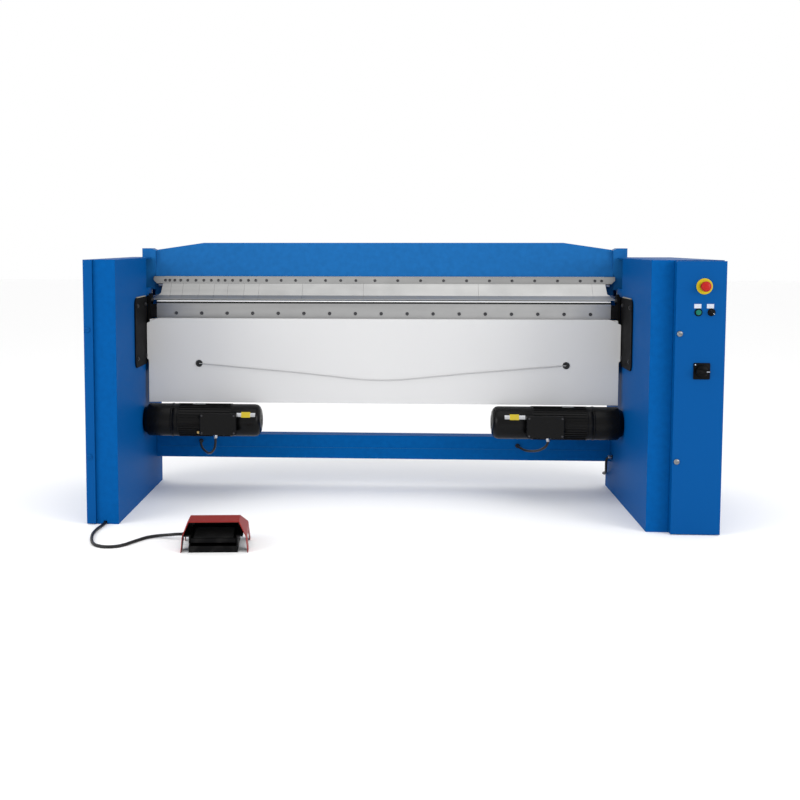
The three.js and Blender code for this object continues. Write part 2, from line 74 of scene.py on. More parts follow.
def placeCamera():
    cameraData = bpy.data.cameras.new("mainCamera")
    cameraData.sensor_width = 36
    cameraData.lens = eye["lens"]
    cameraData.shift_x = eye["shiftX"]
    cameraData.shift_y = eye["shiftY"]
    camera = bpy.data.objects.new("mainCamera", cameraData)
    camera.location = at(*eye["place"])
    camera.rotation_euler = (math.radians(90 - eye["down"]), 0, math.radians(eye["turn"]))
    bpy.context.scene.collection.objects.link(camera)
    bpy.context.scene.camera = camera


placeCamera()
print("camera placed")


# Shader maths: a socket that can be added, subtracted and multiplied like a number
class Wire:
    def __init__(self, finish, socket):
        self.finish = finish
        self.socket = socket

    def maths(self, operation, first, second):
        return self.finish.make("ShaderNodeMath", {"operation": operation}, {0: first, 1: second})

    def __add__(self, other):
        return self.maths("ADD", self, other)

    __radd__ = __add__

    def __sub__(self, other):
        return self.maths("SUBTRACT", self, other)

    def __rsub__(self, other):
        return self.maths("SUBTRACT", other, self)

    def __mul__(self, other):
        return self.maths("MULTIPLY", self, other)

    __rmul__ = __mul__


class Finish:
    def __init__(self, name, slot, **uniform):
        self.material = bpy.data.materials.new(name)
        self.material.use_nodes = True
        self.tree = self.material.node_tree
        self.shader = self.tree.nodes["Principled BSDF"]
        self.slot = slot
        for word, value in uniform.items():
            self.shader.inputs[socketNames[word]].default_value = value
        self.place = self.make("ShaderNodeTexCoord", output="Object")

    # Settings first, then the values or links of the sockets
    def make(self, kind, settings=None, sockets=None, output=0):
        node = self.tree.nodes.new(kind)
        for key, value in (settings or {}).items():
            if key == "stops":
                for spot, (where, colour) in enumerate(value):
                    stop = node.color_ramp.elements[spot] if spot < 2 else node.color_ramp.elements.new(where)
                    stop.position = where
                    stop.color = (*colour, 1)
            else:
                setattr(node, key, value)
        for key, value in (sockets or {}).items():
            self.feed(node.inputs[key], value)
        return Wire(self, node.outputs[output])

    def feed(self, socket, value):
        if isinstance(value, Wire):
            self.tree.links.new(value.socket, socket)
        else:
            socket.default_value = value

    def stretch(self, x, y, z):
        return self.make("ShaderNodeMapping", {}, {"Vector": self.place, "Scale": (x, y, z)})

    def noise(self, scale, detail=2, roughness=0.5, across=None):
        return self.make("ShaderNodeTexNoise", {}, {
            "Vector": across or self.place, "Scale": scale, "Detail": detail, "Roughness": roughness})

    def between(self, value, low, high):
        return self.make("ShaderNodeMapRange", {"clamp": True}, {
            "Value": value, "From Min": low, "From Max": high, "To Min": 0, "To Max": 1})

    def blend(self, share, first, second):
        pair = {0: share, 6: first if isinstance(first, Wire) else (*first, 1),
                7: second if isinstance(second, Wire) else (*second, 1)}
        return self.make("ShaderNodeMix", {"data_type": "RGBA"}, pair, output=2)

    def attribute(self, name):
        return self.make("ShaderNodeAttribute", {"attribute_name": name}, output="Fac")

    def bump(self, height, distance):
        self.set("Normal", self.make("ShaderNodeBump", {}, {"Height": height, "Distance": distance}))

    def set(self, socket, value):
        self.feed(self.shader.inputs[socket], value)


socketNames = {"metal": "Metallic", "gloss": "Specular IOR Level"}


def shade(colour, factor):
    return tuple(min(1, part * factor) for part in colour)


# Sprayed powder coat: slow drift of tone over a panel, orange peel, and a thinner, lighter film on the edges
def powderCoat(name, slot, colour, roughness=0.42, gloss=0.05, drift=0.015, peel=0.00005, edgeTone=1.25):
    finish = Finish(name, slot, gloss=gloss)
    cloud = finish.noise(1.7, 3)
    grain = finish.noise(520, 1)
    base = finish.blend(finish.between(cloud, 0.3, 0.7), shade(colour, 1 - drift), shade(colour, 1 + drift))
    edge = finish.attribute("edge") * finish.between(finish.noise(45, 3), 0.3, 0.7)
    coated = finish.blend(edge * 0.6, base, shade(colour, edgeTone))
    # Faces marked inside go near black: painted shade under and inside the foot switch hood
    finish.set("Base Color", finish.blend(finish.attribute("inside"), coated, (0.004, 0.004, 0.004)))
    finish.set("Roughness", grain * 0.1 + (roughness - 0.05))
    finish.bump(grain, peel)
    return finish


# Ground tool steel: fine grain along one axis, with long pale and dark passes of the wheel
def groundSteel(name, slot, colour, roughness=0.3, along=(5, 420, 420), passes=0.1, lean=0.0):
    finish = Finish(name, slot, metal=1.0)
    fine = finish.noise(1, 4, 0.6, finish.stretch(*along))
    wide = finish.noise(1, 2, 0.5, finish.stretch(*(part * 0.06 + 0.8 for part in along)))
    stain = finish.between(finish.noise(9, 3), 0.45, 0.8)
    run = finish.between(finish.make("ShaderNodeSeparateXYZ", {}, {0: finish.place}), -1.1, 1.1)
    dull, bright = shade(colour, 1 - passes), shade(colour, 1 + passes)
    ground = finish.blend(finish.between(wide, 0.25, 0.75), dull, bright)
    # Lighter towards +X by the lean share: a painted reflection, the steel brighter to the right
    ground = finish.blend(run * lean, ground, shade(colour, 1.9))
    stained = finish.blend(stain * 0.15, ground, shade(colour, 0.6))
    # Marked faces turn near white: a painted highlight on the bar's nose
    stained = finish.blend(finish.attribute("polish"), stained, shade(colour, 2.7))
    # Faces marked band go near black: painted dark reflection lines along the bar's nose
    finish.set("Base Color", finish.blend(finish.attribute("band"), stained, shade(colour, 0.1)))
    finish.set("Roughness", fine * 0.16 + stain * 0.07 + (roughness - 0.08))
    finish.bump(fine, 0.00003)
    return finish


# Threaded steel: the same turned metal with the waves of a coarse thread run along it, darkened in the
# troughs as painted shade
def threaded(name, slot, colour, pitch):
    finish = Finish(name, slot, metal=1.0)
    height = finish.make("ShaderNodeSeparateXYZ", {}, {0: finish.place}, output=2)
    wave = finish.make("ShaderNodeMath", {"operation": "SINE"}, {0: height * (math.tau / (pitch * mm))})
    # Troughs of the thread wave are darkened: painted shade in the grooves
    finish.set("Base Color", finish.blend(finish.between(wave, -1, 0.6), shade(colour, 0.35), colour))
    finish.set("Roughness", finish.noise(80, 2) * 0.2 + 0.2)
    finish.bump(wave, 0.0015)
    return finish


# Moulded plastic or rubber: even colour under a fine spark-eroded texture
def moulded(name, slot, colour, roughness=0.5, gloss=0.4, texture=900, depth=0.00004, dust=0.06):
    finish = Finish(name, slot, gloss=gloss)
    skin = finish.noise(texture, 2)
    dusty = finish.between(finish.noise(25, 4), 0.5, 0.85)
    finish.set("Base Color", finish.blend(dusty * dust, colour, (0.22, 0.21, 0.2)))
    finish.set("Roughness", skin * 0.1 + dusty * 0.1 + (roughness - 0.08))
    finish.bump(skin, depth)
    return finish


# Zinc plate: cool bright metal with the faint bloom of passivation
def plated(name, slot, colour, roughness=0.28):
    finish = Finish(name, slot, metal=1.0)
    bloom = finish.noise(60, 3)
    finish.set("Base Color", finish.blend(finish.between(bloom, 0.3, 0.7), colour, shade(colour, 0.8)))
    finish.set("Roughness", bloom * 0.14 + (roughness - 0.07))
    finish.bump(finish.noise(700, 1), 0.00002)
    return finish


finishes = {
    "columnBlue": powderCoat("columnBlue", "column_blue", (0.0002, 0.062, 0.228)),
    # A lighter copy of the column blue for the two columns: painted light for their inner faces, which get
    # less of the lamps
    "innerBluePaintedLight": powderCoat("innerBluePaintedLight", "column_blue", (0.0002, 0.067, 0.244), 0.5, 0.03),
    # A lighter copy of the column blue for the lower rail: painted light, since the rail stands back in shade
    "railBluePaintedLight": powderCoat("railBluePaintedLight", "column_blue", (0.0002, 0.080, 0.285), 0.5, 0.03),
    "beamBlue": powderCoat("beamBlue", "beam_blue", (0.008, 0.096, 0.285)),
    "apronGrey": powderCoat("apronGrey", "apron_grey", (0.55, 0.55, 0.552), 0.5, 0.2, 0.012, 0.00004, 1.1),
    "rodGrey": powderCoat("rodGrey", "zinc_plate", (0.40, 0.40, 0.405), 0.5, 0.2, 0.03, 0.00002, 1.1),
    "black": powderCoat("satinBlack", "black_paint", (0.003, 0.003, 0.0033), 0.55, 0.03, 0.15, 0.0001, 4.0),
    "castBlack": powderCoat("castBlack", "black_paint", (0.002, 0.002, 0.0022), 0.26, 0.13, 0.2, 0.0002, 5.0),
    "hoodRed": powderCoat("hoodRed", "hood_red", (0.22, 0.017, 0.014), 0.4, 0.05, 0.06, 0.00006, 1.3),
    "steel": groundSteel("groundSteel", "ground_steel", (0.25, 0.25, 0.248), 0.4),
    # lean sets the painted reflection that brightens the clamping and bar steel towards the right
    "clampSteel": groundSteel("clampSteel", "ground_steel", (0.29, 0.29, 0.287), 0.36, lean=0.7),
    "barSteel": groundSteel("barSteel", "ground_steel", (0.30, 0.30, 0.30), 0.34, (4, 380, 380), 0.12, 0.5),
    "darkSteel": groundSteel("turnedSteel", "dark_steel", (0.10, 0.105, 0.11), 0.35, (300, 300, 300), 0.1),
    "thread": threaded("threadedSteel", "dark_steel", (0.22, 0.225, 0.23), 10),
    "screwSteel": plated("screwSteel", "dark_steel", (0.07, 0.07, 0.075), 0.42),
    "zinc": plated("zincPlate", "zinc_plate", (0.50, 0.51, 0.53)),
    "lockMetal": plated("lockMetal", "zinc_plate", (0.22, 0.225, 0.235), 0.34),
    "brass": plated("brassPlug", "zinc_plate", (0.52, 0.36, 0.14), 0.35),
    "plasticBlack": moulded("mouldedBlack", "black_plastic", (0.0022, 0.0022, 0.0025), 0.5, 0.06),
    "rubber": moulded("cableSheath", "cable_rubber", (0.005, 0.005, 0.0055), 0.5, 0.3, 500, 0.00006, 0.05),
    "signalRed": moulded("signalRed", "signal_red", (0.34, 0.010, 0.008), 0.35, 0.15, 600, 0.00002, 0.0),
    "signalYellow": moulded("signalYellow", "signal_yellow", (0.46, 0.34, 0.010), 0.42, 0.1, 600, 0.00003,
                            0.02),
    "signalGreen": moulded("signalGreen", "signal_green", (0.006, 0.12, 0.085), 0.34, 0.15, 600, 0.00002,
                           0.0),
    "labelWhite": moulded("labelWhite", "zinc_plate", (0.45, 0.48, 0.55), 0.4, 0.2, 800, 0.00002, 0.03),
    "stickerYellow": moulded("stickerYellow", "signal_yellow", (0.50, 0.38, 0.02), 0.4, 0.2, 600, 0.00002,
                             0.1),
    "rim": moulded("rimSeal", "zinc_plate", (0.30, 0.27, 0.21), 0.6, 0.2, 500, 0.00004, 0.1),
}
print("finishes mixed,", len(finishes))


# Modelling by hand: everything is deselected first, then picked by place or normal
def deselect():
    if bpy.context.object and bpy.context.object.mode != "OBJECT":
        bpy.ops.object.mode_set(mode="OBJECT")
    bpy.ops.object.select_all(action="DESELECT")


def take(piece):
    deselect()
    piece.select_set(True)
    bpy.context.view_layer.objects.active = piece


def settle(piece):
    take(piece)
    bpy.ops.object.transform_apply(location=True, rotation=True, scale=True)
    return piece


def block(low, high):
    low, high = at(*low), at(*high)
    deselect()
    bpy.ops.mesh.primitive_cube_add(size=1, location=(low + high) / 2, scale=high - low)
    return settle(bpy.context.object)


turns = {"x": (0, math.radians(90), 0), "y": (math.radians(90), 0, 0), "z": (0, 0, 0)}
directions = {"x": Vector((1, 0, 0)), "y": Vector((0, 1, 0)), "z": Vector((0, 0, 1))}


def rod(middle, radius, length, axis, corners=32):
    deselect()
    bpy.ops.mesh.primitive_cylinder_add(vertices=corners, radius=radius * mm, depth=length * mm,
                                        location=at(*middle), rotation=turns[axis])
    return settle(bpy.context.object)


# Selects the faces, edges or vertices that pass a test, in edit mode
def pick(piece, kind, test):
    take(piece)
    bpy.ops.object.mode_set(mode="EDIT")
    bpy.ops.mesh.select_mode(type=kind)
    bpy.ops.mesh.select_all(action="DESELECT")
    cage = bmesh.from_edit_mesh(piece.data)
    for element in {"FACE": cage.faces, "EDGE": cage.edges, "VERT": cage.verts}[kind]:
        if test(element):
            element.select_set(True)
    cage.select_flush_mode()
    bmesh.update_edit_mesh(piece.data)


def done(piece):
    bpy.ops.object.mode_set(mode="OBJECT")
    return piece


def mark(piece, name, value, faces=None):
    layer = piece.data.attributes.get(name) or piece.data.attributes.new(name, "FLOAT", "FACE")
    for polygon in piece.data.polygons:
        if faces is None or polygon.index in faces:
            layer.data[polygon.index].value = value


# Rounds every sharp edge and notes the new faces as edge faces; plates stay flat, round pieces are smoothed
def soften(piece, width, segments=2, sharp=28, smooth=0):
    take(piece)
    bpy.ops.object.mode_set(mode="EDIT")
    bpy.ops.mesh.select_mode(type="EDGE")
    bpy.ops.mesh.select_all(action="DESELECT")
    bpy.ops.mesh.edges_select_sharp(sharpness=math.radians(sharp))
    bpy.ops.mesh.bevel(offset=width * mm, offset_type="OFFSET", segments=segments, profile=0.5,
                       affect="EDGES", clamp_overlap=True)
    bpy.ops.object.mode_set(mode="OBJECT")
    edgeFaces = {polygon.index for polygon in piece.data.polygons if polygon.select}
    if len(edgeFaces) < len(piece.data.polygons):
        mark(piece, "edge", 1.0, edgeFaces)
    take(piece)
    if smooth:
        bpy.ops.object.shade_smooth_by_angle(angle=math.radians(smooth))
    else:
        bpy.ops.object.shade_flat()
    return piece


def finishAs(piece, name, body, finish, replaced=()):
    piece.name = name
    piece.data.name = name
    piece.data.materials.clear()
    piece.data.materials.append(finishes[finish].material)
    if replaced:
        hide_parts(*replaced)
    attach(piece, body)
    return piece


def joined(parts):
    deselect()
    for part in parts:
        part.select_set(True)
    bpy.context.view_layer.objects.active = parts[0]
    bpy.ops.object.join()
    return bpy.context.object


def copied(piece, shift):
    twin = piece.copy()
    twin.data = piece.data.copy()
    twin.data.transform(Matrix.Translation(Vector(shift) * mm))
    bpy.context.scene.collection.objects.link(twin)
    return twin


# A copy of a small piece drawn at the datum, tilted and turned, then set on its spot
def placed(piece, spot, tilt=0.0, turn=0.0):
    twin = copied(piece, (0, 0, 0))
    swing = Matrix.Rotation(turn, 4, "Z") @ Matrix.Rotation(tilt, 4, "X")
    twin.data.transform(Matrix.Translation(at(*spot)) @ swing @ Matrix.Translation(-at(0, 0, 0)))
    return twin


# Copies of a piece around an axis through a point
def ringOf(piece, middle, axis, count, first=0.0, last=math.tau):
    twins = []
    for number in range(count):
        twin = copied(piece, (0, 0, 0))
        spin = Matrix.Rotation(first + (last - first) * number / count, 4, directions[axis])
        twin.data.transform(Matrix.Translation(at(*middle)) @ spin @ Matrix.Translation(-at(*middle)))
        twins.append(twin)
    bpy.data.objects.remove(piece)
    return twins


def cutAway(piece, cutter, operation="DIFFERENCE"):
    take(piece)
    tool = piece.modifiers.new("cut", "BOOLEAN")
    tool.operation = operation
    tool.solver = "EXACT"
    tool.object = cutter
    bpy.ops.object.modifier_apply(modifier=tool.name)
    bpy.data.objects.remove(cutter)
    return piece


# A turned piece, pulled along its axis ring by ring; the profile is a list of (place along the axis, radius).
# A hollow one ends level with its start, and its two end faces give way to a flat ring.
def turnedPiece(centre, axis, profile, corners=48, hollow=False):
    run = directions[axis]
    (start, first), rest = profile[0], profile[1:]
    middle = at(*centre) + run * (start * mm)
    deselect()
    bpy.ops.mesh.primitive_circle_add(vertices=corners, radius=first * mm, fill_type="NGON", location=middle,
                                      rotation=turns[axis])
    piece = settle(bpy.context.object)
    take(piece)
    bpy.ops.object.mode_set(mode="EDIT")
    bpy.ops.mesh.select_all(action="SELECT")
    for place, radius in rest:
        bpy.ops.mesh.extrude_region_move(TRANSFORM_OT_translate={"value": run * ((place - start) * mm)})
        middle = middle + run * ((place - start) * mm)
        ratio = radius / first
        sizes = [1 if run[k] else ratio for k in range(3)]
        bpy.ops.transform.resize(value=sizes, center_override=middle)
        start, first = place, radius
    if hollow:
        pick(piece, "FACE", lambda face: len(face.verts) == corners)
        bpy.ops.mesh.delete(type="ONLY_FACE")
        bpy.ops.mesh.select_mode(type="EDGE")
        bpy.ops.mesh.select_all(action="DESELECT")
        bpy.ops.mesh.select_non_manifold()
        bpy.ops.mesh.bridge_edge_loops()
    bpy.ops.mesh.select_all(action="SELECT")
    bpy.ops.mesh.remove_doubles(threshold=1e-6)
    bpy.ops.mesh.normals_make_consistent(inside=False)
    return done(piece)


# A copy of a CAD node with its loose triangles merged back into panels
def merged(name):
    source = nodes[name]
    piece = source.copy()
    piece.data = source.data.copy()
    for key in list(piece.keys()):
        del piece[key]
    piece.parent = None
    bpy.context.scene.collection.objects.link(piece)
    piece.hide_viewport = piece.hide_render = False
    piece.hide_set(False)
    take(piece)
    bpy.ops.object.mode_set(mode="EDIT")
    bpy.ops.mesh.select_all(action="SELECT")
    bpy.ops.mesh.remove_doubles(threshold=2e-6)
    bpy.ops.mesh.dissolve_limited(angle_limit=math.radians(0.6))
    bpy.ops.object.mode_set(mode="OBJECT")
    return piece


def bodyOf(name):
    return nodes[name]["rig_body"]


# The same with its edges softened, standing for the node
def dressed(name, finish, width=1.0, segments=2, sharp=28, smooth=0):
    piece = soften(merged(name), width, segments, sharp, smooth)
    return finishAs(piece, name + "_panel", bodyOf(name), finish, (name,))


# A span of X on either side of the middle, and a block over it
def along(sign, start, end):
    return (-end, -start) if sign < 0 else (start, end)


def slab(sign, xSpan, low, high):
    start, end = along(sign, *xSpan)
    return block((start, *low), (end, *high))


# Socket screw, drawn at the datum facing the operator: low chamfered head with a six-sided recess
def socketScrew(radius, height):
    head = rod((0, 1 - height / 2, 0), radius, height + 2, "y", 28)
    key = rod((0, -height, 0), radius * 0.52, height * 1.3, "y", 6)
    return soften(cutAway(head, key), radius * 0.09, 2, 40)


# Hexagon bolt with its washer, drawn the same way
def hexBolt(radius, height):
    washer = soften(rod((0, 0, 0), radius * 1.35, 2.4, "y", 28), 0.4, 1, 40)
    head = soften(rod((0, -height / 2, 0), radius, height, "y", 6), radius * 0.1, 2, 40)
    return joined([head, washer])


def allPlaced(template, spots, tilt=0.0, turn=0.0):
    twins = [placed(template, spot, tilt, turn) for spot in spots]
    bpy.data.objects.remove(template)
    return joined(twins)


# The foot switch is drawn square to the machine and turned a little on the floor, about its front edge
pedal = {"middle": (-601.5, -404), "turn": math.radians(5)}


def swung(x, y, z):
    across, back = pedal["middle"]
    spot = Matrix.Rotation(pedal["turn"], 3, "Z") @ Vector((x - across, y - back, z))
    return (spot.x + across, spot.y + back, z)


# Cable of the foot switch: out of the left column, along the floor in one slack bend, into the strain relief
cable = {"diameter": 12, "sheath": "rubber", "length": 0.813, "lie": 6.3, "floor": [
    (-1113, 60), (-1113, 25), (-1113, -5), (-1115, -50), (-1119, -100), (-1119, -155), (-1113, -205),
    (-1103, -250), (-1091, -290), (-1075, -327), (-1050, -355), (-1016, -367), (-982, -359), (-956, -334),
    (-935, -295), (-914, -257)],
    "rise": [(-892, -224, 6.6), (-866, -208, 8), (-832, -207, 11.5), (-803, -215, 16)]}
cable["route"] = [(x, y, cable["lie"]) for x, y in cable["floor"]] + cable["rise"] + [
    swung(-762, -205, 19.6), swung(-738.3, -205, 20)]


def layCable():
    line = bpy.data.curves.new("foot_switch_cable", "CURVE")
    line.dimensions = "3D"
    line.bevel_depth = cable["diameter"] * mm / 2
    line.bevel_resolution = 6
    line.resolution_u = 10
    line.use_fill_caps = True
    spline = line.splines.new("BEZIER")
    spline.bezier_points.add(len(cable["route"]) - 1)
    for knot, spot in zip(spline.bezier_points, cable["route"]):
        knot.co = at(*spot)
        knot.handle_left_type = knot.handle_right_type = "AUTO"
    piece = bpy.data.objects.new("foot_switch_cable", line)
    bpy.context.scene.collection.objects.link(piece)
    finishAs(piece, "foot_switch_cable", "frame", cable["sheath"], ("pedal_cable",))
    cable["diameter"] * mm


# Studio: pale floor, white surroundings and soft lamps
studio = {"floor": (0.97, 0.97, 0.97), "floorRoughness": 0.7, "around": 1.0, "aim": (0, 400, 500), "lamps": [
    ((-4300, -2800, 2100), 3.4, 105), ((4500, -2800, 2100), 3.4, 120), ((0, -900, 4200), 3.5, 25)]}


def lightStudio():
    deselect()
    bpy.ops.mesh.primitive_plane_add(size=60, location=(0, 0, 0))
    floor = bpy.context.object
    floor.name = "studio_floor"
    paint = bpy.data.materials.new("studioFloor")
    paint.use_nodes = True
    shader = paint.node_tree.nodes["Principled BSDF"]
    shader.inputs["Base Color"].default_value = (*studio["floor"], 1)
    shader.inputs["Roughness"].default_value = studio["floorRoughness"]
    floor.data.materials.append(paint)
    world = bpy.data.worlds.new("studioWorld")
    world.use_nodes = True
    sky = world.node_tree.nodes["Background"]
    sky.inputs["Color"].default_value = (1, 1, 1, 1)
    sky.inputs["Strength"].default_value = studio["around"]
    bpy.context.scene.world = world
    for place, size, power in studio["lamps"]:
        lampData = bpy.data.lights.new("softLamp", "AREA")
        lampData.shape = "DISK"
        lampData.size = size
        lampData.energy = power
        lamp = bpy.data.objects.new("softLamp", lampData)
        lamp.location = at(*place)
        lamp.rotation_euler = (at(*studio["aim"]) - lamp.location).to_track_quat("-Z", "Y").to_euler()
        bpy.context.scene.collection.objects.link(lamp)
    bpy.context.scene.view_settings.view_transform = "Standard"


lightStudio()
print("studio lit")

# Welded and folded plate, with softened edges
panels = {"left_column": "innerBluePaintedLight", "right_column": "innerBluePaintedLight", "left_cover": "columnBlue",
          "electrical_cabinet": "columnBlue", "cabinet_door": "columnBlue", "lower_beam": "columnBlue",
          "lower_rail": "railBluePaintedLight", "upper_beam": "beamBlue", "left_beam_lug": "beamBlue",
          "right_beam_lug": "beamBlue", "bending_beam": "apronGrey", "apron": "apronGrey",
          "left_side_plate": "black", "right_side_plate": "black", "left_pivot_arm": "black",
          "right_pivot_arm": "black", "mounting_plate": "zinc", "lower_clamp_bar": "steel"}
for name, finish in panels.items():
    dressed(name, finish)
print("panels softened,", len(panels))

# Turned and moulded pieces: finer edges and a smooth skin
rounds = {"left_pivot_bearing": ("darkSteel", 0.8), "right_pivot_bearing": ("darkSteel", 0.8),
          "left_lift_spindle": ("thread", 0.5), "right_lift_spindle": ("thread", 0.5),
          "left_motor_lead": ("rubber", 0.3), "right_motor_lead": ("rubber", 0.3),
          "column_lead": ("rubber", 0.3), "tension_rod": ("rodGrey", 0.2),
          "pedal_strain_relief": ("plasticBlack", 0.5), "pedal_pin": ("zinc", 0.4),
          "left_cover_lock_upper": ("columnBlue", 0.5), "left_cover_lock_lower": ("columnBlue", 0.5),
          "door_lock_upper": ("lockMetal", 0.5), "door_lock_lower": ("lockMetal", 0.5),
          "drive_unit": ("black", 1.0), "pedal_treadle": ("plasticBlack", 0.6)}
for name, (finish, width) in rounds.items():
    dressed(name, finish, width, 2, 40, 40)
layCable()
print("turned pieces and the cable laid")

# Clamping tools: a leaning strip full of recessed screws, and twelve segments of different widths below it
clamp = {"edges": {1: (-1040, -961, -906), 2: (-906, -830, -761), 3: (-761, -699, -624),
                   4: (-624, -557, -358), 5: (-358, -82), 6: (-82, 435), 7: (435, 941, 1040)},
         "play": 0.15, "screws": [(-1000, -961, 2), (-961, -906, 2), (-906, -830, 2), (-830, -761, 2),
                                  (-761, -699, 2), (-699, -624, 2), (-624, -557, 2), (-557, -358, 3),
                                  (-358, -82, 4), (-82, 435, 5), (435, 941, 5), (941, 1000, 2)],
         "face": (669, 972), "lean": math.radians(-26.8), "screwRadius": 5.4, "stops": (-1024, 1000),
         "room": ((570, 870), (710, 970)), "sunk": (2.4, -1.2)}
for number, edges in clamp["edges"].items():
    name = f"clamp_segment_{number}"
    for count, (start, end) in enumerate(zip(edges, edges[1:])):
        piece = merged(name)
        room = block((start + clamp["play"], *clamp["room"][0]), (end - clamp["play"], *clamp["room"][1]))
        soften(cutAway(piece, room, "INTERSECT"), 0.35, 2)
        finishAs(piece, f"segment_{number}_{count + 1}", "upper_beam", "clampSteel", (name,))

strip = merged("clamping_strip")
screwSpots = [(start + (end - start) * (number + 0.5) / count, *clamp["face"])
              for start, end, count in clamp["screws"] for number in range(count)]
recess = rod((0, 0, 0), clamp["screwRadius"] + 1.4, 9, "y", 24)
cutAway(strip, allPlaced(recess, screwSpots, clamp["lean"]))
finishAs(soften(strip, 0.6, 2, 40), "leaning_strip", "upper_beam", "steel", ("clamping_strip",))
deeper = [(x, y + clamp["sunk"][0], z + clamp["sunk"][1]) for x, y, z in screwSpots]
screws = allPlaced(socketScrew(clamp["screwRadius"], 1.2), deeper, clamp["lean"])
finishAs(screws, "strip_screws", "upper_beam", "screwSteel")
stops = [soften(block((x, 672, 944), (x + 24, 690, 957)), 3, 3) for x in clamp["stops"]]
finishAs(joined(stops), "strip_end_stops", "upper_beam", "zinc")
print("clamping tools made,", len(screwSpots), "screws")

# Gussets that tie the lugs to the underside of the upper beam
gusset = {"across": (1003, 1045), "low": (701, 906), "high": (712, 991), "rounding": 2}
pair = [soften(slab(sign, gusset["across"], gusset["low"], gusset["high"]), gusset["rounding"])
        for sign in sides.values()]
finishAs(joined(pair), "beam_gussets", "upper_beam", "beamBlue")
print("gussets made")

# Bend bar: rounded nose with painted dark reflection lines and a painted highlight, screws sunk in its face
bar = {"half": 922, "count": 17, "z": 828, "screwRadius": 7.4, "bands": [(0.93, 1.01), (0.3, 0.62)],
       "paintedHighlightSpan": (0.62, 0.93)}
barSpots = [(-bar["half"] + 2 * bar["half"] * number / (bar["count"] - 1), 568, bar["z"])
            for number in range(bar["count"])]
nose = merged("bend_bar")
cutAway(nose, allPlaced(rod((0, 0, 0), bar["screwRadius"] + 1.2, 9, "y", 28), barSpots))
soften(nose, 0.8, 2, 9)
# Faces facing up, and a band lower on the nose, get the painted dark reflection lines; faces between get the
# painted highlight
mark(nose, "band", 1.0, {polygon.index for polygon in nose.data.polygons
                         if any(low < polygon.normal.z < high for low, high in bar["bands"])})
mark(nose, "polish", 1.0, {polygon.index for polygon in nose.data.polygons
                           if bar["paintedHighlightSpan"][0] < polygon.normal.z < bar["paintedHighlightSpan"][1]})
finishAs(nose, "rounded_bar", "bending_beam", "barSteel", ("bend_bar",))
heads = [(x, y + 3.4, z) for x, y, z in barSpots]
finishAs(allPlaced(socketScrew(bar["screwRadius"], 2.4), heads), "bar_screws", "bending_beam", "screwSteel")
print("bend bar made")

# Tension rod ends: a rubber grommet in each hole of the apron
rodEnd = {"x": 813, "z": 605, "corners": 36, "profile": [
    (525.2, 12.5), (524.4, 15.5), (527, 15.5), (531, 11.5), (540, 11.5), (540, 5), (525.2, 5)]}
for side, sign in sides.items():
    ring = turnedPiece((sign * rodEnd["x"], 0, rodEnd["z"]), "y", rodEnd["profile"], rodEnd["corners"], True)
    finishAs(soften(ring, 0.3, 1, 60, 40), f"{side}_rod_grommet", "bending_beam", "rubber")
print("grommets fitted")

# Gear motors: ribs, bands, fan grille, terminal box lid with screws, gland, breather and blank stickers
motors = {"y": 515, "z": 352, "ribs": 34, "stator": (668, 896), "box": (633, 795, 299, 396), "bolt": 4.2,
          "bands": [(929, 75, 8), (900, 74.5, 6), (665, 74, 7)], "grille": (12, 19, 26, 33),
          "fanEnd": {"left": 530, "right": 488}, "breather": {"left": (782, 841), "right": (796, 848)},
          "gland": (727, 432), "sticker": {"left": (553, 658), "right": (541, 630)}}


